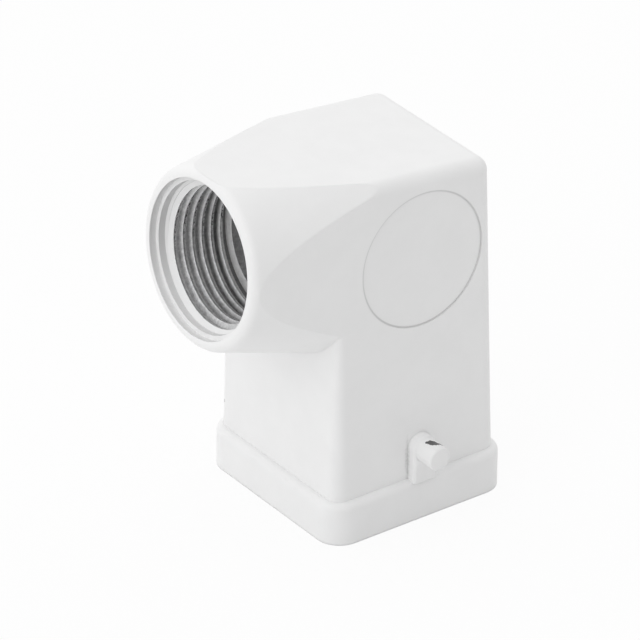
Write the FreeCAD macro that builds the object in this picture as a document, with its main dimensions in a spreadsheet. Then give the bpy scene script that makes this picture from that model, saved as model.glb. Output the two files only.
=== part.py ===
import FreeCAD
import Part
import Sketcher
import math
import os
import re

# Hood for a small square heavy-duty connector, die-cast in one piece.
# The hood stands on its open rim: origin in the middle of the rim, +Z up,
# the cable entry points towards -X, and a locking peg stands on each of the
# -Y and +Y faces. Lengths are in millimetres and angles in degrees.

SIZES = {
    # skirt that grips the base
    "skirt_side": 29.0,
    "skirt_height": 6.1,
    "skirt_corner": 3.5,
    "skirt_edge": 1.0,
    # square body above the skirt, its faces drafted inwards
    "body_foot": 27.0,
    "draft": 1.4,
    "top_height": 50.7,
    "top_round": 1.9,
    "corner_low": 1.9,
    "corner_high": 0.6,
    # cable entry, its axis rising towards the mouth, parallel to the top
    "entry_tilt": 5.6,
    "mouth_reach": 26.1,
    "mouth_height": 41.3,
    "mouth_radius": 12.3,
    "mouth_round": 1.3,
    "flare": 12.0,
    # bore of the entry, depths from the mouth inwards
    "seat_radius": 10.9,
    "seat_depth": 1.07,
    "relief_radius": 10.3,
    "relief_end": 2.1,
    "thread_radius": 10.0,
    "thread_start": 2.4,
    "thread_end": 11.6,
    "drill_radius": 8.6,
    # cored inside
    "wall": 2.2,
    "roof_wall": 2.0,
    "well_corner": 1.2,
    "recess_side": 25.0,
    "recess_depth": 4.4,
    "recess_corner": 2.2,
    # post for the fixing screw of the insert
    "insert_room": 27.0,
    "post_radius": 2.8,
    "post_inset": 1.8,
    "screw_radius": 1.25,
    "screw_depth": 8.0,
    # locking pegs, and the webs that carry them
    "peg_radius": 1.7,
    "peg_height": 10.6,
    "peg_offset": 0.4,
    "peg_span": 35.8,
    "peg_edge": 0.3,
    "web_width": 3.8,
    "web_span": 29.6,
    "web_sink": 0.3,
    "web_edge": 0.5,
    # blank round field, sunk into the -Y face
    "field_radius": 9.7,
    "field_x": 0.9,
    "field_height": 38.3,
    "field_depth": 0.15,
}

# Solids that only trim others run this far past them.
SPARE = 5.0
# Points and directions closer than this count as the same.
NEAR = 1e-3

TURN_XZ = FreeCAD.Rotation(FreeCAD.Vector(1, 0, 0), 90)
TURN_YZ = FreeCAD.Rotation(FreeCAD.Vector(1, 1, 1), 120)
ALONG_X = FreeCAD.Vector(1, 0, 0)
ALONG_Y = FreeCAD.Vector(0, 1, 0)
ALONG_Z = FreeCAD.Vector(0, 0, 1)


def make_sheet(doc):
    """Spreadsheet with one aliased cell for each driving size."""
    sheet = doc.addObject("Spreadsheet::Sheet", "sizes")
    for row, (name, value) in enumerate(SIZES.items(), start=1):
        sheet.set(f"A{row}", name)
        sheet.set(f"B{row}", str(value))
        sheet.setAlias(f"B{row}", name)
    doc.recompute()
    return sheet


def formula(text):
    """Formula in which each size is read from its cell."""
    return re.sub(r"[a-z_]+", lambda word: f"sizes.{word[0]}" if word[0] in SIZES else word[0], text)


def bind(item, **formulas):
    """Bind properties to formulas; a double underscore stands for a dot."""
    for path, text in formulas.items():
        item.setExpression(path.replace("__", "."), formula(text))
    return item


def outline(doc, name, points, turn):
    """Closed sketch through points given as pairs of formulas."""
    sketch = doc.addObject("Sketcher::SketchObject", name)
    count = len(points)
    rough = [FreeCAD.Vector(math.cos(2 * math.pi * i / count), math.sin(2 * math.pi * i / count), 0)
             for i in range(count)]
    for i in range(count):
        sketch.addGeometry(Part.LineSegment(rough[i], rough[(i + 1) % count]), False)
    for i in range(count):
        sketch.addConstraint(Sketcher.Constraint("Coincident", i, 2, (i + 1) % count, 1))
    for i, (across, up) in enumerate(points):
        for kind, text in (("DistanceX", across), ("DistanceY", up)):
            number = sketch.addConstraint(Sketcher.Constraint(kind, i, 1, 1.0))
            sketch.setExpression(f"Constraints[{number}]", formula(text))
    sketch.Placement = FreeCAD.Placement(FreeCAD.Vector(), turn)
    return sketch


def slab(doc, name, points, turn, width):
    """Outline pulled out by the same amount to both sides."""
    item = doc.addObject("Part::Extrusion", name)
    item.Base = outline(doc, name + "_outline", points, turn)
    item.DirMode = "Normal"
    item.Solid = True
    item.Symmetric = True
    return bind(item, LengthFwd=width)


def turned(doc, name, points):
    """Outline turned about the axis of the entry; its x is the depth from the mouth."""
    item = doc.addObject("Part::Revolution", name)
    item.Source = outline(doc, name + "_outline", points, TURN_XZ)
    item.Axis = ALONG_X
    item.Angle = 360
    item.Solid = True
    item.Placement = FreeCAD.Placement(FreeCAD.Vector(), FreeCAD.Rotation(ALONG_Y, 1))
    return bind(item, Placement__Base__x="-1 * mouth_reach", Placement__Base__z="mouth_height",
                Placement__Rotation__Angle="entry_tilt")


def cylinder(doc, name, axis, radius, length, **place):
    """Cylinder that starts at its place and runs along axis."""
    item = doc.addObject("Part::Cylinder", name)
    item.Placement = FreeCAD.Placement(FreeCAD.Vector(), FreeCAD.Rotation(ALONG_Z, axis))
    bind(item, Radius=radius, Height=length)
    return bind(item, **{"Placement__Base__" + key: text for key, text in place.items()})


def block(doc, name, length, width, height, **place):
    item = doc.addObject("Part::Box", name)
    bind(item, Length=length, Width=width, Height=height)
    return bind(item, **{"Placement__Base__" + key: text for key, text in place.items()})


def combine(doc, kind, name, shapes):
    """Boolean of several solids; a cut takes the others out of the first."""
    if kind == "Part::Cut":
        item = doc.addObject(kind, name)
        item.Base, item.Tool = shapes
    else:
        item = doc.addObject(kind, name)
        item.Shapes = shapes
    item.Refine = True
    return item


def rounded(doc, name, base, choose):
    """Fillet on the edges for which choose gives a start and an end radius."""
    doc.recompute()
    edges = []
    for number, edge in enumerate(base.Shape.Edges, start=1):
        radii = None if edge.Degenerated else choose(edge)
        if radii:
            edges.append((number, *radii))
    if not edges:
        raise ValueError(f"no edge found for {name}")
    item = doc.addObject("Part::Fillet", name)
    item.Base = base
    item.Edges = edges
    return item


def middle(edge):
    return edge.valueAt((edge.FirstParameter + edge.LastParameter) / 2)


def leans(edge, axis, least=0.99):
    """True for a straight edge that runs roughly along axis."""
    if not isinstance(edge.Curve, Part.Line):
        return False
    return abs(edge.Curve.Direction.dot(axis)) > least


def upward(edge, low, high):
    """Radii for a standing edge, low at its foot, in the edge's own order."""
    first = edge.valueAt(edge.FirstParameter)
    last = edge.valueAt(edge.LastParameter)
    return (low, high) if first.z < last.z else (high, low)


def make_envelope(doc, sheet):
    """Space between the drafted side faces, the drafted back and the sloping top."""
    foot = "body_foot / 2"
    lean = "tan(draft)"
    fall = "tan(entry_tilt)"
    back_top = f"({foot} - {lean} * top_height) / (1 - {lean} * {fall})"
    front = f"-1 * mouth_reach - {SPARE}"
    sunk = "skirt_height / 2"
    side_view = slab(doc, "side_view", [
        (front, sunk),
        (f"{foot} - {lean} * {sunk}", sunk),
        (back_top, f"top_height - {fall} * {back_top}"),
        (front, f"top_height - {fall} * ({front})"),
    ], TURN_XZ, f"body_foot + {SPARE}")
    tall = f"(top_height + mouth_reach + {SPARE})"
    front_view = slab(doc, "front_view", [
        (f"-1 * {foot}", "0"),
        (foot, "0"),
        (f"{foot} - {lean} * {tall}", tall),
        (f"-1 * {foot} + {lean} * {tall}", tall),
    ], TURN_YZ, f"mouth_reach * 2 + {SPARE} * 4")
    sharp = combine(doc, "Part::MultiCommon", "envelope", [side_view, front_view])

    def choose(edge):
        spot = middle(edge)
        end = -sheet.mouth_reach - SPARE
        if abs(spot.x - end) < NEAR or spot.z < sheet.skirt_height / 2 + NEAR:
            return None
        if leans(edge, ALONG_Z):
            return upward(edge, sheet.corner_low, sheet.top_round)
        return sheet.top_round, sheet.top_round

    return rounded(doc, "envelope_rounded", sharp, choose)


def make_body(doc, sheet):
    """Column up to the entry's axis and the flaring entry, both cut to the envelope."""
    foot = "body_foot / 2"
    lean = "tan(draft)"
    fall = "tan(entry_tilt)"
    foot_z = f"(mouth_height - {fall} * mouth_reach)"
    front_x = f"({lean} * {foot_z} - {foot}) / (1 + {lean} * {fall})"
    column = slab(doc, "column", [
        (f"-1 * {foot}", "0"),
        ("body_foot", "0"),
        ("body_foot", f"{foot_z} - {fall} * body_foot"),
        (front_x, f"{foot_z} - {fall} * {front_x}"),
    ], TURN_XZ, f"body_foot + {SPARE} * 2")
    depth = "(mouth_reach + body_foot)"
    cone = turned(doc, "flare_cone", [
        ("0", "0"),
        (depth, "0"),
        (depth, f"mouth_radius + {depth} * tan(flare)"),
        ("0", "mouth_radius"),
    ])

    def mouth_edge(edge):
        round_edge = isinstance(edge.Curve, Part.Circle)
        if round_edge and abs(edge.Curve.Radius - sheet.mouth_radius) < NEAR:
            return sheet.mouth_round, sheet.mouth_round
        return None

    cone = rounded(doc, "flare_rounded", cone, mouth_edge)
    envelope = make_envelope(doc, sheet)
    trimmed = combine(doc, "Part::MultiCommon", "column_trimmed", [column, envelope])

    def front_corner(edge):
        if leans(edge, ALONG_Z) and middle(edge).x < 0:
            return upward(edge, sheet.corner_low, sheet.corner_high)
        return None

    column = rounded(doc, "column_rounded", trimmed, front_corner)
    entry = combine(doc, "Part::MultiCommon", "entry_trimmed", [cone, envelope])
    return combine(doc, "Part::MultiFuse", "body", [column, entry])


def make_skirt(doc, sheet):
    half = "-1 * skirt_side / 2"
    sharp = block(doc, "skirt_blank", "skirt_side", "skirt_side", "skirt_height", x=half, y=half)

    def corner(edge):
        if leans(edge, ALONG_Z):
            return sheet.skirt_corner, sheet.skirt_corner
        return None

    def shoulder(edge):
        if abs(middle(edge).z - sheet.skirt_height) < NEAR:
            return sheet.skirt_edge, sheet.skirt_edge
        return None

    sides = rounded(doc, "skirt_sides", sharp, corner)
    return rounded(doc, "skirt", sides, shoulder)


def make_pegs(doc, sheet):
    """Both pegs as one bar and both webs as one block; the well parts them."""
    bar = cylinder(doc, "peg_bar", ALONG_Y, "peg_radius", "peg_span",
                   x="peg_offset", y="-1 * peg_span / 2", z="peg_height")

    def tip(edge):
        if abs(abs(middle(edge).y) - sheet.peg_span / 2) < NEAR:
            return sheet.peg_edge, sheet.peg_edge
        return None

    bar = rounded(doc, "pegs", bar, tip)
    web_foot = "skirt_height - web_sink"
    web = block(doc, "web_block", "web_width", "web_span", f"peg_height - ({web_foot})",
                x="peg_offset - web_width / 2", y="-1 * web_span / 2", z=web_foot)
    crown = cylinder(doc, "web_crown", ALONG_Y, "web_width / 2", "web_span",
                     x="peg_offset", y="-1 * web_span / 2", z="peg_height")
    web = combine(doc, "Part::MultiFuse", "web_blank", [web, crown])

    def rim(edge):
        spot = middle(edge)
        low = sheet.skirt_height - sheet.web_sink
        if abs(abs(spot.y) - sheet.web_span / 2) < NEAR and spot.z > low + NEAR:
            return sheet.web_edge, sheet.web_edge
        return None

    return bar, rounded(doc, "webs", web, rim)


def make_well(doc, sheet):
    """Cored inside: square well with a sloping roof, and the recess in the skirt."""
    foot = "(body_foot / 2 - wall)"
    lean = "tan(draft)"
    fall = "tan(entry_tilt)"
    roof = "(top_height - roof_wall / cos(entry_tilt))"
    below = f"(-1 * {SPARE})"
    back_top = f"({foot} - {lean} * {roof}) / (1 - {lean} * {fall})"
    front_top = f"(-1 * {foot} + {lean} * {roof}) / (1 + {lean} * {fall})"
    side_view = slab(doc, "well_side_view", [
        (f"-1 * {foot} + {lean} * {below}", below),
        (f"{foot} - {lean} * {below}", below),
        (back_top, f"{roof} - {fall} * {back_top}"),
        (front_top, f"{roof} - {fall} * {front_top}"),
    ], TURN_XZ, "body_foot")
    tall = "top_height * 2"
    front_view = slab(doc, "well_front_view", [
        (f"-1 * {foot} + {lean} * {below} * 2", f"{below} * 2"),
        (f"{foot} - {lean} * {below} * 2", f"{below} * 2"),
        (f"{foot} - {lean} * {tall}", tall),
        (f"-1 * {foot} + {lean} * {tall}", tall),
    ], TURN_YZ, "body_foot")
    well = combine(doc, "Part::MultiCommon", "well_sharp", [side_view, front_view])

    def well_corner(edge):
        if leans(edge, ALONG_Z):
            return sheet.well_corner, sheet.well_corner
        return None

    well = rounded(doc, "well", well, well_corner)
    half = "-1 * recess_side / 2"
    recess = block(doc, "recess_blank", "recess_side", "recess_side",
                   f"recess_depth + {SPARE}", x=half, y=half, z=f"-1 * {SPARE}")

    def recess_corner(edge):
        if leans(edge, ALONG_Z):
            return sheet.recess_corner, sheet.recess_corner
        return None

    return well, rounded(doc, "recess", recess, recess_corner)


def make_bore(doc):
    """Turned bore of the entry; the thread is cut in its longest stretch."""
    end = f"mouth_reach - wall - {SPARE}"
    return turned(doc, "bore", [
        (f"-1 * {SPARE}", "0"),
        (f"-1 * {SPARE}", "seat_radius"),
        ("seat_depth", "seat_radius"),
        ("seat_depth", "relief_radius"),
        ("relief_end", "relief_radius"),
        ("thread_start", "thread_radius"),
        ("thread_end", "thread_radius"),
        ("thread_end", "drill_radius"),
        (end, "drill_radius"),
        (end, "0"),
    ])


def make_post(doc):
    """Post on the back wall with the tapped hole for the insert's screw."""
    inside = "(body_foot / 2 - wall - tan(draft) * insert_room)"
    spot = f"{inside} - post_inset"
    height = "top_height - roof_wall / 2 - insert_room - tan(entry_tilt) * body_foot / 2"
    post = cylinder(doc, "post", ALONG_Z, "post_radius", height, x=spot, z="insert_room")
    hole = cylinder(doc, "screw_hole", ALONG_Z, "screw_radius", f"screw_depth + {SPARE}",
                    x=spot, z=f"insert_room - {SPARE}")
    return post, hole


def make_field(doc):
    """Disc that sinks the blank round field square to the drafted -Y face."""
    disc = doc.addObject("Part::Cylinder", "field_disc")
    disc.Placement = FreeCAD.Placement(FreeCAD.Vector(), FreeCAD.Rotation(ALONG_X, 1))
    face = "(body_foot / 2 - tan(draft) * field_height)"
    return bind(disc, Radius="field_radius", Height=str(SPARE),
                Placement__Rotation__Angle="90 - draft",
                Placement__Base__x="field_x",
                Placement__Base__y=f"-1 * {face} + field_depth",
                Placement__Base__z="field_height")


def make_hood(doc, sheet):
    outside = [make_body(doc, sheet), make_skirt(doc, sheet), *make_pegs(doc, sheet)]
    casting = combine(doc, "Part::MultiFuse", "casting", outside)
    inside = combine(doc, "Part::MultiFuse", "inside", [*make_well(doc, sheet), make_bore(doc)])
    shell = combine(doc, "Part::Cut", "shell", [casting, inside])
    post, hole = make_post(doc)
    posted = combine(doc, "Part::MultiFuse", "posted_shell", [shell, post])
    cuts = combine(doc, "Part::MultiFuse", "last_cuts", [hole, make_field(doc)])
    hood = combine(doc, "Part::Cut", "hood", [posted, cuts])
    hood.Label = "hood"
    return hood


def check(doc, parts):
    """Stop if any object failed or any sub-part isn't one sound solid."""
    for item in doc.Objects:
        if "Invalid" in item.State or "Error" in item.State:
            raise RuntimeError(f"{item.Name} failed: {item.State}")
    for item in parts:
        shape = item.Shape
        if shape.isNull() or not shape.isValid() or len(shape.Solids) != 1:
            raise RuntimeError(f"{item.Label} isn't one valid solid")


def main():
    doc = FreeCAD.newDocument("connector_housing")
    sheet = make_sheet(doc)
    parts = [make_hood(doc, sheet)]
    doc.recompute()
    check(doc, parts)
    os.makedirs("parts", exist_ok=True)
    for item in parts:
        item.Shape.exportStep(f"parts/{item.Label}.step")
        box = item.Shape.BoundBox
        print(f"{item.Label}: {item.Shape.Volume:.1f} mm3, {box.XLength:.2f} x "
              f"{box.YLength:.2f} x {box.ZLength:.2f} mm, {len(item.Shape.Faces)} faces")


main()
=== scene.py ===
"""Small square connector housing: one die-cast hood with a slanting, threaded cable entry."""
import math
from types import SimpleNamespace

import bpy
from mathutils import Matrix, Vector


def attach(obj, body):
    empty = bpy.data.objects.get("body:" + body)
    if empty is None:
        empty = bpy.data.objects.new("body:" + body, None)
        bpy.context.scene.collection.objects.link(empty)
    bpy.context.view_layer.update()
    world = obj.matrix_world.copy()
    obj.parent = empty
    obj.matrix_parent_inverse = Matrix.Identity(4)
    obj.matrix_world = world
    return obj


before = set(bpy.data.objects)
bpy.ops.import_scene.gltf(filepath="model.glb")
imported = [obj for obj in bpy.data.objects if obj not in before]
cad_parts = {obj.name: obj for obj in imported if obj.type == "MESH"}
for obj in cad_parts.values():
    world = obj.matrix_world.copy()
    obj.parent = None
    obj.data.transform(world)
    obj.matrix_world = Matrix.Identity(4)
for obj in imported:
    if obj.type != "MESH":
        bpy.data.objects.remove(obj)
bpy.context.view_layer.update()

MM = 0.001

# Sizes of the casting that the thread and the finish follow, in mm, as in the part's source.
ENTRY_TILT = math.radians(5.6)
MOUTH = Vector((-26.1, 0.0, 41.3))
INWARDS = Vector((math.cos(ENTRY_TILT), 0.0, -math.sin(ENTRY_TILT)))
UPWARDS = INWARDS.cross(Vector((0, 1, 0)))
MOUTH_RADIUS = 12.3
FLARE = math.tan(math.radians(12.0))
SEAT_RADIUS = 10.9
RELIEF_END = 2.1
FOOT_HALF = 13.5
SKIRT_TOP = 6.1
DRAFT = math.tan(math.radians(1.4))
TOP_HEIGHT = 50.7
TOP_SLOPE = math.tan(ENTRY_TILT)
AXIS_HEIGHT = MOUTH.z + MOUTH.x * TOP_SLOPE
FIELD_X = 0.9
FIELD_HEIGHT = 38.3
FIELD_RADIUS = 9.7

# Metric cable thread of 20 mm with a pitch of 1.5 mm.
PITCH = 1.5
THREAD_ROOT = 10.4
RIDGE_HEIGHT = 1.08
BASE_HALF = 0.78
CREST_OUT = 0.32
CREST_IN = 0.2
CREST_ROUND = 0.7
WORN_CORNER = 2
FIRST_CREST = 3.0
CREST_CLIMB = PITCH / 5
THREAD_END = 11.6
EARLY_TURNS = 0.55
TURNS = 5.95
RUN_IN = 0.07
RUN_OUT = 0.93
RUN_START = 0.05
STEPS_PER_TURN = 96
ROUNDING_STEPS = 4
SHARP_EDGE = math.radians(35)

# Colours of the finish, and of the painted shade on it.
COAT_LOW = "#EEEEEE"
COAT_HIGH = "#F0F0F0"
# Grey of the painted shade on the walls just inside the lip.
LIP_WALL_SHADE = "#C8C8C8"
FIELD_LINE = "#D4D4D4"
METAL_LOW = "#CECECF"
METAL_HIGH = "#F0F0F0"
# Dark of the pits in the thread, and of the painted shade in its grooves.
PITS_AND_GROOVE_SHADE = "#303030"
PAPER = "#F2F2F2"

# Grain of the finish: the size of a feature in mm, its detail and its roughness. That of the
# metal is finer on the real part, and is drawn as coarse as it needs to be to show.
GRAINS = {
    "spray_edge": (0.4, 3.0, 0.7),
    "drift": (3.0, 3.0, 0.5),
    "dust": (0.5, 4.0, 0.7),
    "mottle": (5.0, 4.0, 0.6),
    "mark_edge": (0.35, 3.0, 0.5),
    "coat": (0.32, 3.0, 0.6),
    "orange_peel": (1.3, 2.0, 0.5),
    "cast_metal": (0.5, 4.0, 0.65),
    "pits": (0.45, 3.0, 0.7),
}
SPRAY_RAGGED = 0.7
DRIFT_RAGGED = 6.0
MARK_RAGGED = 1.6
PEEL_SHARE = 0.65
CAST_RAGGED = 0.25

# Soft steps of the grain itself: from and to, then the value at each where not 0 and 1.
MIDDLE = (0.3, 0.7)
DUSTY = (0.3, 0.55, 0.6, 1.0)
PITTED = (0.5, 0.55)
COAT_GLOSS = (0.2, 0.8, 0.4, 0.52)
METAL_GLOSS = (0.3, 0.7, 0.4, 0.55)

# Soft steps of the coat by place: from and to in mm, then the values, in the same way.
BELOW_SKIN = (1.05, 1.2)
PAST_CREST = (FIRST_CREST + 0.12, FIRST_CREST + 0.22)
UP_THE_WELL = (8.0, 18.0)
INTO_THE_WELL = (THREAD_END + 0.1, THREAD_END + 1.0, 1.0, 0.8)
INSIDE_LIP = (0.05, 0.15)
BEFORE_RELIEF_END = (RELIEF_END - 0.05, RELIEF_END, 1.0, 0.0)
WITHIN_SEAT = (SEAT_RADIUS + 0.1, SEAT_RADIUS + 0.3, 1.0, 0.0)
LESS_BELOW = (-9.0, 0.0, 0.2, 1.0)
CLEAR_OF_MOUTH = (SEAT_RADIUS + 0.6, SEAT_RADIUS + 1.0)
CLEAR_OF_FIELD = (0.5, 0.9)
CLEAR_OF_SKIRT = (0.4, 1.2, 0.2, 1.0)
ON_OUTER_FACE = (0.3, 0.4, 1.0, 0.0)
FIELD_LINE_WIDTH = (0.02, 0.22, 1.0, 0.0)
FIELD_LINE_INSET = 0.08

# Steps of the bare metal by place, soft but for the painted groove shade's, which grows evenly
# with depth.
FROM_THREAD = (2.2, 2.6)
TO_THREAD_END = (THREAD_END - 0.1, THREAD_END, 1.0, 0.0)
# Painted shade in the grooves, growing with depth.
GROOVE_SHADE_BY_DEPTH = (FIRST_CREST, THREAD_END, 0.0, 0.75)
IN_GROOVE = (9.5, 10.05, 0.1, 1.0)
OFF_CREST = (9.3, 9.34)
NEAR_CREST = (9.8, 9.95, 1.0, 0.0)
MORE_ABOVE = (-5.0, 2.0, 0.0, 0.95)

# Steps by how far a face looks out of the mouth, from 0 for a wall along the bore to 1.
LOOKS_OUT = (0.9, 0.97)
# Painted shade on the walls just inside the lip, most on walls along the bore.
WALL_SHADE = (0.2, 0.8, 0.6, 0.0)
LOOKS_IN = (0.0, 0.25, 1.0, 0.0)

# Relief of the finish: its height in mm and strength, and how far the coat rounds edges.
COAT_RELIEF = 0.05
COAT_STRENGTH = 0.35
METAL_RELIEF = 0.06
METAL_STRENGTH = 0.5
COAT_EASE = 0.5
EASE_SAMPLES = 8
COAT_IOR = 1.5

# Marks in the coat and painted shade on it: middle and direction, half length and half width
# in mm, core and colour. They are two parts of the chip on the peg, a nick in the edge, and a
# painted shade in the corner beside each web.
MARKS_AND_SHADES = (
    ((0.42, -16.12, 12.3), (-0.59, 0.8, 0.0), 0.95, 0.55, 0.8, "#565656"),
    ((1.2, -16.66, 12.1), (0.8, -0.4, -0.45), 0.75, 0.28, 0.8, "#666666"),
    ((-13.25, 12.3, 9.7), (0.0, 0.0, 1.0), 0.3, 0.3, 0.8, "#B4B4B4"),
    # Painted shade in the corner beside each web, on both sides.
    ((-1.55, -13.3, 8.9), (0.0, 0.0, 1.0), 4.2, 0.5, -0.6, "#CECECE"),
    ((-1.55, 13.3, 8.9), (0.0, 0.0, 1.0), 4.2, 0.5, -0.6, "#CECECE"),
)
MARK_RIM = 1.1

# The camera of the photograph, in mm and degrees.
CAMERA_PLACE = Vector((-436.72, -581.46, 444.14))
CAMERA_AZIMUTH = math.radians(-36.507)
CAMERA_ELEVATION = math.radians(30.047)
CAMERA_ROLL = math.radians(0.58)
CAMERA_LENS = 355.81
CAMERA_SENSOR = 36
CAMERA_NEAR = 50

# Light of the room: its plain level, how it grows along +X, +Y and +Z, and its upper limit.
ROOM_LEVEL = 0.98
ROOM_SLOPE = (-0.05, 0.58, 0.04)
ROOM_LIMIT = 1.0

# Square lamps: place and width in m, and power in W. They shine at the middle of the rim.
LAMPS = (
    ("overhead", (-0.1, -0.1, 1.4), 1.2, 1.5),
    ("entry_side", (-1.2, -0.25, 0.75), 0.9, 2.6),
)

# The floor: half its width in m, how far it lies below the rim in mm, and its share of white.
FLOOR_REACH = 3.0
FLOOR_GAP = 0.02
FLOOR_WHITE = 0.9

WHITE = (1, 1, 1, 1)
SOFT = {"interpolation_type": "SMOOTHSTEP"}
COLOUR = {"data_type": "RGBA"}


def linear(colour):
    """Linear colour of an sRGB hex value."""
    parts = [int(colour[i:i + 2], 16) / 255 for i in (1, 3, 5)]
    return tuple(
        p / 12.92 if p <= 0.04045 else ((p + 0.055) / 1.055) ** 2.4 for p in parts
    ) + (1.0,)


def add(tree, kind, *values, named=None, **settings):
    """Adds a node with its settings; inputs are given in order, or by name or number.

    An input is a plain value, a socket, or a node, whose first output in use is taken.
    """
    node = tree.nodes.new(kind)
    for name, value in settings.items():
        setattr(node, name, value)
    for name, value in (dict(enumerate(values)) | (named or {})).items():
        socket = node.inputs[name]
        if isinstance(value, bpy.types.Node):
            value = next(out for out in value.outputs if out.enabled)
        if isinstance(value, bpy.types.NodeSocket):
            tree.links.new(value, socket)
        else:
            socket.default_value = value
    return node


def where_all(tree, *masks):
    """A mask that is 1 only where every one of the masks is."""
    whole = masks[0]
    for mask in masks[1:]:
        whole = add(tree, "ShaderNodeMath", whole, mask, operation="MULTIPLY")
    return whole


def seen_or_mirrored(tree):
    """1 for what the camera sees, directly, in a gloss or through glass, and 0 for light."""
    paths = add(tree, "ShaderNodeLightPath").outputs
    seen = add(tree, "ShaderNodeMath", paths["Is Camera Ray"], paths["Is Glossy Ray"],
               operation="MAXIMUM")
    return add(tree, "ShaderNodeMath", seen, paths["Is Transmission Ray"], operation="MAXIMUM")


def patch(tree, place, ragged, centre, direction, half_length, half_width, core):
    """An oval mark with a ragged edge: 1 within its core, 0 outside."""
    unit = tuple(Vector(direction).normalized())
    offset = add(tree, "ShaderNodeVectorMath", place, centre, operation="SUBTRACT")
    run = add(tree, "ShaderNodeVectorMath", offset, unit, operation="DOT_PRODUCT")
    whole = add(tree, "ShaderNodeVectorMath", offset, operation="LENGTH")
    run_squared = add(tree, "ShaderNodeMath", run, run, operation="MULTIPLY")
    whole_squared = add(tree, "ShaderNodeMath", whole, whole, operation="MULTIPLY")
    beside = add(tree, "ShaderNodeMath", whole_squared, run_squared, operation="SUBTRACT")
    lengthwise = add(tree, "ShaderNodeMath", run_squared, 1 / half_length ** 2,
                     operation="MULTIPLY")
    total = add(tree, "ShaderNodeMath", beside, 1 / half_width ** 2, lengthwise,
                operation="MULTIPLY_ADD")
    edge = add(tree, "ShaderNodeMath", total, ragged, operation="ADD")
    return add(tree, "ShaderNodeMapRange", edge, core, MARK_RIM, 1.0, 0.0, **SOFT)


def locate(tree):
    """Measures where a point of the casting lies, in mm, and which way it faces."""
    coordinates = add(tree, "ShaderNodeTexCoord").outputs
    place = add(tree, "ShaderNodeVectorMath", coordinates["Object"], named={"Scale": 1 / MM},
                operation="SCALE")
    along, across, height = add(tree, "ShaderNodeSeparateXYZ", place).outputs

    # Depth along the entry, distance from its axis, and height over it.
    from_mouth = add(tree, "ShaderNodeVectorMath", place, tuple(MOUTH), operation="SUBTRACT")
    depth = add(tree, "ShaderNodeVectorMath", from_mouth, tuple(INWARDS),
                operation="DOT_PRODUCT")
    rise = add(tree, "ShaderNodeVectorMath", from_mouth, tuple(UPWARDS),
               operation="DOT_PRODUCT")
    distance = add(tree, "ShaderNodeVectorMath", from_mouth, operation="LENGTH")
    distance_squared = add(tree, "ShaderNodeMath", distance, distance,
                           operation="MULTIPLY")
    depth_squared = add(tree, "ShaderNodeMath", depth, depth, operation="MULTIPLY")
    radius_squared = add(tree, "ShaderNodeMath", distance_squared, depth_squared,
                         operation="SUBTRACT")
    radius = add(tree, "ShaderNodeMath", radius_squared, operation="SQRT")
    facing = add(tree, "ShaderNodeVectorMath", coordinates["Normal"], tuple(-INWARDS),
                 operation="DOT_PRODUCT")

    # Distance under each outer face, and under the skin as a whole.
    half = add(tree, "ShaderNodeMath", height, -DRAFT, FOOT_HALF, operation="MULTIPLY_ADD")
    sideways = add(tree, "ShaderNodeMath", across, operation="ABSOLUTE")
    side = add(tree, "ShaderNodeMath", half, sideways, operation="SUBTRACT")
    back = add(tree, "ShaderNodeMath", half, along, operation="SUBTRACT")
    front = add(tree, "ShaderNodeMath", half, along, operation="ADD")
    downwards = add(tree, "ShaderNodeMath", height, -1.0, operation="MULTIPLY")
    slope = add(tree, "ShaderNodeMath", along, -TOP_SLOPE, downwards, operation="MULTIPLY_ADD")
    top = add(tree, "ShaderNodeMath", slope, TOP_HEIGHT, operation="ADD")
    below_axis = add(tree, "ShaderNodeMath", slope, AXIS_HEIGHT, operation="ADD")
    cone = add(tree, "ShaderNodeMath", depth, FLARE, MOUTH_RADIUS, operation="MULTIPLY_ADD")
    cone = add(tree, "ShaderNodeMath", cone, radius, operation="SUBTRACT")
    column = add(tree, "ShaderNodeMath", front, below_axis, operation="MINIMUM")
    collar = add(tree, "ShaderNodeMath", cone, depth, operation="MINIMUM")
    front_face = add(tree, "ShaderNodeMath", column, collar, operation="MAXIMUM")
    skin = side
    for face in (back, top, front_face):
        skin = add(tree, "ShaderNodeMath", skin, face, operation="MINIMUM")

    # Distance from the rim of the blank field.
    field_along = add(tree, "ShaderNodeMath", along, FIELD_X, operation="SUBTRACT")
    field_up = add(tree, "ShaderNodeMath", height, FIELD_HEIGHT, operation="SUBTRACT")
    from_field = add(tree, "ShaderNodeCombineXYZ", named={"X": field_along, "Z": field_up})
    from_field = add(tree, "ShaderNodeVectorMath", from_field, operation="LENGTH")
    off_rim = add(tree, "ShaderNodeMath", from_field, FIELD_RADIUS - FIELD_LINE_INSET,
                  operation="SUBTRACT")
    off_rim = add(tree, "ShaderNodeMath", off_rim, operation="ABSOLUTE")

    grains = {
        name: add(tree, "ShaderNodeTexNoise", named={
            "Vector": place, "Scale": 1 / size, "Detail": detail, "Roughness": roughness,
        })
        for name, (size, detail, roughness) in GRAINS.items()
    }
    return SimpleNamespace(
        place=place, across=across, height=height, depth=depth, rise=rise, radius=radius,
        facing=facing, side=side, skin=skin, off_rim=off_rim, grains=grains,
    )


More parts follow.
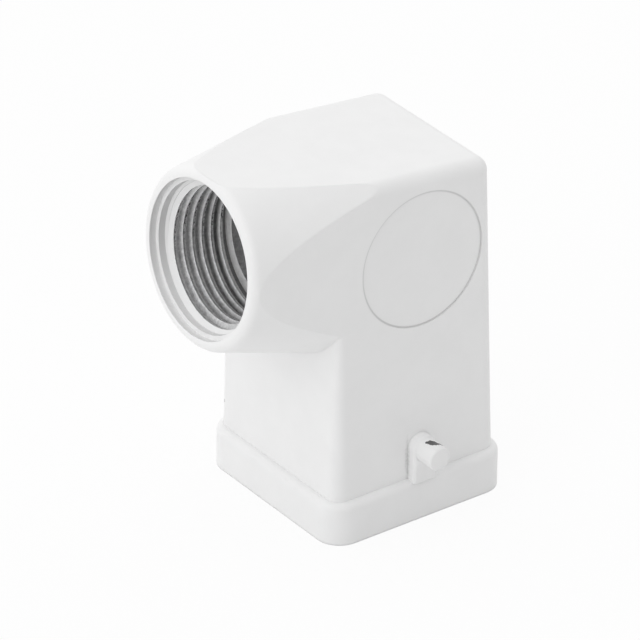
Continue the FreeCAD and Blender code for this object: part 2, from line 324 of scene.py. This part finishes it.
def find_bare_metal(tree, at):
    """The inside that the spray doesn't reach: 1 on bare metal, 0 on the coat."""
    under_skin = add(tree, "ShaderNodeMapRange", at.skin, *BELOW_SKIN, **SOFT)

    # Spray covers the first crest of the thread, which lies deeper towards the top of the entry.
    climb = add(tree, "ShaderNodeMath", at.rise, at.radius, operation="DIVIDE")
    climb = add(tree, "ShaderNodeMath", climb, CREST_CLIMB, operation="MULTIPLY")
    past = add(tree, "ShaderNodeMath", at.depth, climb, operation="SUBTRACT")
    spray = add(tree, "ShaderNodeMath", at.grains["spray_edge"], SPRAY_RAGGED, past,
                operation="MULTIPLY_ADD")
    past_crest = add(tree, "ShaderNodeMapRange", spray, *PAST_CREST, **SOFT)

    # It drifts a few mm up the well from the rim, and a little goes in through the entry.
    drift = add(tree, "ShaderNodeMath", at.grains["drift"], DRIFT_RAGGED, at.height,
                operation="MULTIPLY_ADD")
    above_drift = add(tree, "ShaderNodeMapRange", drift, *UP_THE_WELL, **SOFT)
    in_the_well = add(tree, "ShaderNodeMapRange", at.depth, *INTO_THE_WELL, **SOFT)

    # It dusts the faces that look out of the mouth.
    dusty = add(tree, "ShaderNodeMapRange", at.grains["dust"], *DUSTY, **SOFT)
    looks_out = add(tree, "ShaderNodeMapRange", at.facing, *LOOKS_OUT, **SOFT)
    dust = where_all(tree, looks_out, dusty)
    free_of_dust = add(tree, "ShaderNodeMath", 1.0, dust, operation="SUBTRACT")
    return where_all(tree, under_skin, past_crest, above_drift, free_of_dust, in_the_well)


def make_coat(tree, at):
    """Powder coat: nearly white and matt, as baked powder is, with a slight orange peel."""
    mottle = add(tree, "ShaderNodeMapRange", at.grains["mottle"], *MIDDLE, **SOFT)
    colour = add(tree, "ShaderNodeMix", named={
        "Factor": mottle, 6: linear(COAT_LOW), 7: linear(COAT_HIGH),
    }, **COLOUR)

    # Chips, knocked through to dark metal, and painted shade in the corner at the foot of each
    # web.
    ragged = add(tree, "ShaderNodeMath", at.grains["mark_edge"], MARK_RAGGED, -MARK_RAGGED / 2,
                 operation="MULTIPLY_ADD")
    for *shape, tint in MARKS_AND_SHADES:
        colour = add(tree, "ShaderNodeMix", named={
            "Factor": patch(tree, at.place, ragged, *shape), 6: colour, 7: linear(tint),
        }, **COLOUR)

    # The fine step round the blank field keeps a thin line of shadow in the coat.
    on_face = add(tree, "ShaderNodeMapRange", at.side, *ON_OUTER_FACE, **SOFT)
    near_side = add(tree, "ShaderNodeMath", at.across, 0.0, operation="LESS_THAN")
    on_line = add(tree, "ShaderNodeMapRange", at.off_rim, *FIELD_LINE_WIDTH, **SOFT)
    colour = add(tree, "ShaderNodeMix", named={
        "Factor": where_all(tree, on_face, near_side, on_line),
        6: colour, 7: linear(FIELD_LINE),
    }, **COLOUR)

    # Painted shade greys the round walls just inside the lip, least of all below.
    colour = add(tree, "ShaderNodeMix", named={
        "Factor": where_all(
            tree,
            add(tree, "ShaderNodeMapRange", at.depth, *INSIDE_LIP, **SOFT),
            add(tree, "ShaderNodeMapRange", at.depth, *BEFORE_RELIEF_END, **SOFT),
            add(tree, "ShaderNodeMapRange", at.radius, *WITHIN_SEAT, **SOFT),
            add(tree, "ShaderNodeMapRange", at.rise, *LESS_BELOW, **SOFT),
            add(tree, "ShaderNodeMapRange", at.facing, *WALL_SHADE, **SOFT),
        ),
        6: colour, 7: linear(LIP_WALL_SHADE),
    }, **COLOUR)

    # The coat flows round the outer edges, less in the corner above the skirt, and not in the
    # mouth nor at the step of the field.
    above_skirt = add(tree, "ShaderNodeMath", at.height, SKIRT_TOP, operation="SUBTRACT")
    above_skirt = add(tree, "ShaderNodeMath", above_skirt, operation="ABSOLUTE")
    outside = where_all(
        tree,
        add(tree, "ShaderNodeMapRange", at.radius, *CLEAR_OF_MOUTH, **SOFT),
        add(tree, "ShaderNodeMapRange", at.off_rim, *CLEAR_OF_FIELD, **SOFT),
        add(tree, "ShaderNodeMapRange", above_skirt, *CLEAR_OF_SKIRT, **SOFT),
    )
    ease = add(tree, "ShaderNodeMath", outside, COAT_EASE * MM, operation="MULTIPLY")
    eased = add(tree, "ShaderNodeBevel", named={"Radius": ease}, samples=EASE_SAMPLES)
    peel = add(tree, "ShaderNodeMath", at.grains["orange_peel"], PEEL_SHARE,
               operation="MULTIPLY")
    relief = add(tree, "ShaderNodeMath", at.grains["coat"], 1.0 - PEEL_SHARE, peel,
                 operation="MULTIPLY_ADD")
    bump = add(tree, "ShaderNodeBump", named={
        "Strength": COAT_STRENGTH, "Distance": COAT_RELIEF * MM, "Height": relief,
        "Normal": eased,
    })
    roughness = add(tree, "ShaderNodeMapRange", at.grains["coat"], *COAT_GLOSS, **SOFT)
    return add(tree, "ShaderNodeBsdfPrincipled", named={
        "Base Color": colour, "Roughness": roughness, "Normal": bump, "IOR": COAT_IOR,
    })


def make_metal(tree, at):
    """Bare aluminium, bright on the crests of the thread and darkened in its grooves by painted
    shade.
    """
    cast = at.grains["cast_metal"]
    shade = add(tree, "ShaderNodeMapRange", cast, *MIDDLE, **SOFT)
    colour = add(tree, "ShaderNodeMix", named={
        "Factor": shade, 6: linear(METAL_LOW), 7: linear(METAL_HIGH),
    }, **COLOUR)

    in_thread = where_all(
        tree,
        add(tree, "ShaderNodeMapRange", at.depth, *FROM_THREAD, **SOFT),
        add(tree, "ShaderNodeMapRange", at.depth, *TO_THREAD_END, **SOFT),
    )
    # Painted shade darkens the grooves, more the deeper they lie.
    rough_radius = add(tree, "ShaderNodeMath", cast, CAST_RAGGED, at.radius,
                       operation="MULTIPLY_ADD")
    grooves = where_all(
        tree,
        add(tree, "ShaderNodeMapRange", rough_radius, *IN_GROOVE, **SOFT),
        in_thread,
        add(tree, "ShaderNodeMapRange", at.depth, *GROOVE_SHADE_BY_DEPTH),
    )

    # Pits of the casting were cut open along the inner side of the crests, most of them above.
    pits = where_all(
        tree,
        add(tree, "ShaderNodeMapRange", at.facing, *LOOKS_IN, **SOFT),
        add(tree, "ShaderNodeMapRange", at.grains["pits"], *PITTED, **SOFT),
        in_thread,
        add(tree, "ShaderNodeMapRange", at.radius, *OFF_CREST, **SOFT),
        add(tree, "ShaderNodeMapRange", at.radius, *NEAR_CREST, **SOFT),
        add(tree, "ShaderNodeMapRange", at.rise, *MORE_ABOVE, **SOFT),
    )
    dark = add(tree, "ShaderNodeMath", grooves, pits, operation="MAXIMUM")
    colour = add(tree, "ShaderNodeMix", named={
        "Factor": dark, 6: colour, 7: linear(PITS_AND_GROOVE_SHADE),
    }, **COLOUR)
    bump = add(tree, "ShaderNodeBump", named={
        "Strength": METAL_STRENGTH, "Distance": METAL_RELIEF * MM, "Height": cast,
    })
    roughness = add(tree, "ShaderNodeMapRange", cast, *METAL_GLOSS, **SOFT)
    return add(tree, "ShaderNodeBsdfPrincipled", named={
        "Base Color": colour, "Metallic": 1.0, "Roughness": roughness, "Normal": bump,
    })


def blank_material(name):
    """A new material with an empty node tree."""
    material = bpy.data.materials.new(name)
    material.use_nodes = True
    material.node_tree.nodes.clear()
    return material, material.node_tree


def make_finish():
    """Die-cast aluminium with a powder coat sprayed on from outside and baked.

    The coat covers the outside, the lip and the first turn of the thread, and thins out to
    bare grey metal inside.
    """
    material, tree = blank_material("powder_coat_on_die_cast_aluminium")
    at = locate(tree)
    surface = add(tree, "ShaderNodeMixShader", find_bare_metal(tree, at), make_coat(tree, at),
                  make_metal(tree, at))
    add(tree, "ShaderNodeOutputMaterial", named={"Surface": surface})
    return material


def make_thread(finish):
    """The ridge of the cable thread, one helix with a run-in and a run-out."""
    sizes = {
        "Radius": THREAD_ROOT * MM, "Pitch": PITCH * MM, "Turns": TURNS,
        "Height": RIDGE_HEIGHT * MM, "Base Half": BASE_HALF * MM,
        "Crest In": CREST_IN * MM, "Crest Out": CREST_OUT * MM,
        "Crest Round": CREST_ROUND * MM,
    }
    tree = bpy.data.node_groups.new("thread_ridge", "GeometryNodeTree")
    face = tree.interface
    for name in sizes:
        face.new_socket(name, in_out="INPUT", socket_type="NodeSocketFloat")
    face.new_socket("Finish", in_out="INPUT", socket_type="NodeSocketMaterial")
    face.new_socket("Ridge", in_out="OUTPUT", socket_type="NodeSocketGeometry")
    given = add(tree, "NodeGroupInput").outputs

    climb = add(tree, "ShaderNodeMath", given["Pitch"], given["Turns"], operation="MULTIPLY")
    helix = add(tree, "GeometryNodeCurveSpiral", named={
        "Resolution": STEPS_PER_TURN, "Rotations": given["Turns"],
        "Start Radius": given["Radius"], "End Radius": given["Radius"], "Height": climb,
        "Reverse": True,
    })
    upright = add(tree, "GeometryNodeSetCurveNormal", named={"Curve": helix}, mode="Z_UP")
    done = add(tree, "GeometryNodeSplineParameter").outputs["Factor"]
    run_in = add(tree, "ShaderNodeMapRange", done, 0.0, RUN_IN, RUN_START, 1.0, **SOFT)
    run_out = add(tree, "ShaderNodeMapRange", done, RUN_OUT, 1.0, 1.0, RUN_START, **SOFT)
    fade = add(tree, "ShaderNodeMath", run_in, run_out, operation="MINIMUM")

    # Both flanks rise from the root to the crest, whose edge on the mouth's side is worn round.
    crest = add(tree, "ShaderNodeMath", given["Height"], -1.0, operation="MULTIPLY")
    outer_foot = add(tree, "ShaderNodeMath", given["Base Half"], -1.0, operation="MULTIPLY")
    outer_crest = add(tree, "ShaderNodeMath", given["Crest Out"], -1.0, operation="MULTIPLY")
    corners = ((0.0, given["Base Half"]), (crest, given["Crest In"]), (crest, outer_crest),
               (0.0, outer_foot))
    profile = add(tree, "GeometryNodeCurvePrimitiveQuadrilateral", named={
        f"Point {number}": add(tree, "ShaderNodeCombineXYZ", *corner)
        for number, corner in enumerate(corners, 1)
    }, mode="POINTS")
    index = add(tree, "GeometryNodeInputIndex")
    worn = add(tree, "ShaderNodeMath", index, WORN_CORNER, 0.5, operation="COMPARE")
    rounding = add(tree, "ShaderNodeMath", worn, given["Crest Round"], operation="MULTIPLY")
    eased = add(tree, "GeometryNodeFilletCurve", named={
        "Curve": profile, "Radius": rounding, "Count": ROUNDING_STEPS, "Limit Radius": True,
    }, mode="POLY")
    sweep = add(tree, "GeometryNodeCurveToMesh", named={
        "Curve": upright, "Profile Curve": eased, "Fill Caps": True, "Scale": fade,
    })
    solid = add(tree, "GeometryNodeRealizeInstances", named={"Geometry": sweep})
    dressed = add(tree, "GeometryNodeSetMaterial", named={
        "Geometry": solid, "Material": given["Finish"],
    })
    add(tree, "NodeGroupOutput", named={"Ridge": dressed})

    seed = bpy.data.objects.new("thread_seed", bpy.data.meshes.new("thread_seed"))
    bpy.context.scene.collection.objects.link(seed)
    modifier = seed.modifiers.new("ridge", "NODES")
    modifier.node_group = tree
    values = sizes | {"Finish": finish}
    for item in face.items_tree:
        if item.in_out == "INPUT":
            modifier[item.identifier] = values[item.name]
    graph = bpy.context.evaluated_depsgraph_get()
    mesh = bpy.data.meshes.new_from_object(seed.evaluated_get(graph))
    bpy.data.objects.remove(seed)

    # The helix's own axes: X to the +Y wall, Y up, Z into the entry.
    turn = Matrix((Vector((0, 1, 0)), UPWARDS, INWARDS)).transposed().to_4x4()
    start = MOUTH + INWARDS * (FIRST_CREST - EARLY_TURNS * PITCH)
    phase = Matrix.Rotation(-EARLY_TURNS * math.tau, 4, "Z")
    mesh.transform(Matrix.Translation(start * MM) @ turn @ phase)
    mesh.shade_smooth()
    mesh.set_sharp_from_angle(angle=SHARP_EDGE)
    thread = bpy.data.objects.new("cable_thread", mesh)
    bpy.context.scene.collection.objects.link(thread)
    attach(thread, "root")


def make_floor():
    """A large pale sheet under the hood; a camera sees it white, with a soft shadow."""
    material, tree = blank_material("white_paper_backdrop")
    paper = add(tree, "ShaderNodeBsdfDiffuse", named={"Color": linear(PAPER)})
    glow = add(tree, "ShaderNodeEmission", named={"Color": WHITE, "Strength": 1.0})
    share = add(tree, "ShaderNodeMath", seen_or_mirrored(tree), FLOOR_WHITE,
                operation="MULTIPLY")
    mixed = add(tree, "ShaderNodeMixShader", share, paper, glow)
    add(tree, "ShaderNodeOutputMaterial", named={"Surface": mixed})
    mesh = bpy.data.meshes.new("floor")
    corners = [
        (x * FLOOR_REACH, y * FLOOR_REACH, -FLOOR_GAP * MM)
        for x, y in ((-1, -1), (1, -1), (1, 1), (-1, 1))
    ]
    mesh.from_pydata(corners, [], [(0, 1, 2, 3)])
    mesh.materials.append(material)
    floor = bpy.data.objects.new("floor", mesh)
    bpy.context.scene.collection.objects.link(floor)


def make_light():
    """Even studio light, a little stronger from above and from the side of the cable entry."""
    world = bpy.data.worlds.new("studio")
    world.use_nodes = True
    tree = world.node_tree
    tree.nodes.clear()
    direction = add(tree, "ShaderNodeTexCoord").outputs["Generated"]
    leaning = add(tree, "ShaderNodeVectorMath", direction, ROOM_SLOPE, operation="DOT_PRODUCT")
    glow = add(tree, "ShaderNodeMath", leaning, ROOM_LEVEL, operation="ADD")
    glow = add(tree, "ShaderNodeMath", glow, ROOM_LIMIT, operation="MINIMUM")
    strength = add(tree, "ShaderNodeMix", named={0: seen_or_mirrored(tree), 2: glow, 3: 1.0},
                   data_type="FLOAT")
    sky = add(tree, "ShaderNodeBackground", named={"Color": WHITE, "Strength": strength})
    add(tree, "ShaderNodeOutputWorld", named={"Surface": sky})
    bpy.context.scene.world = world
    for name, place, size, power in LAMPS:
        lamp = bpy.data.lights.new(name, "AREA")
        lamp.size = size
        lamp.energy = power
        piece = bpy.data.objects.new(name, lamp)
        piece.location = place
        piece.rotation_euler = Vector(place).to_track_quat("Z", "Y").to_euler()
        bpy.context.scene.collection.objects.link(piece)


def make_camera():
    """The photograph's camera: far away, with a long lens."""
    level = math.cos(CAMERA_ELEVATION)
    forward = Vector((-math.sin(CAMERA_AZIMUTH) * level, math.cos(CAMERA_AZIMUTH) * level,
                      -math.sin(CAMERA_ELEVATION)))
    right = forward.cross(Vector((0, 0, 1))).normalized()
    up = right.cross(forward)
    turned = Matrix((right, up, -forward)).transposed().to_4x4()
    data = bpy.data.cameras.new("camera")
    data.sensor_width = CAMERA_SENSOR
    data.lens = CAMERA_LENS
    data.clip_start = CAMERA_NEAR * MM
    camera = bpy.data.objects.new("camera", data)
    camera.matrix_world = (Matrix.Translation(CAMERA_PLACE * MM) @ turned
                           @ Matrix.Rotation(CAMERA_ROLL, 4, "Z"))
    bpy.context.scene.collection.objects.link(camera)
    bpy.context.scene.camera = camera


make_camera()
finish = make_finish()
hood = bpy.data.objects["hood"]
for slot in hood.material_slots:
    slot.material = finish
make_thread(finish)
make_floor()
make_light()
bpy.context.scene.view_settings.view_transform = "Standard"
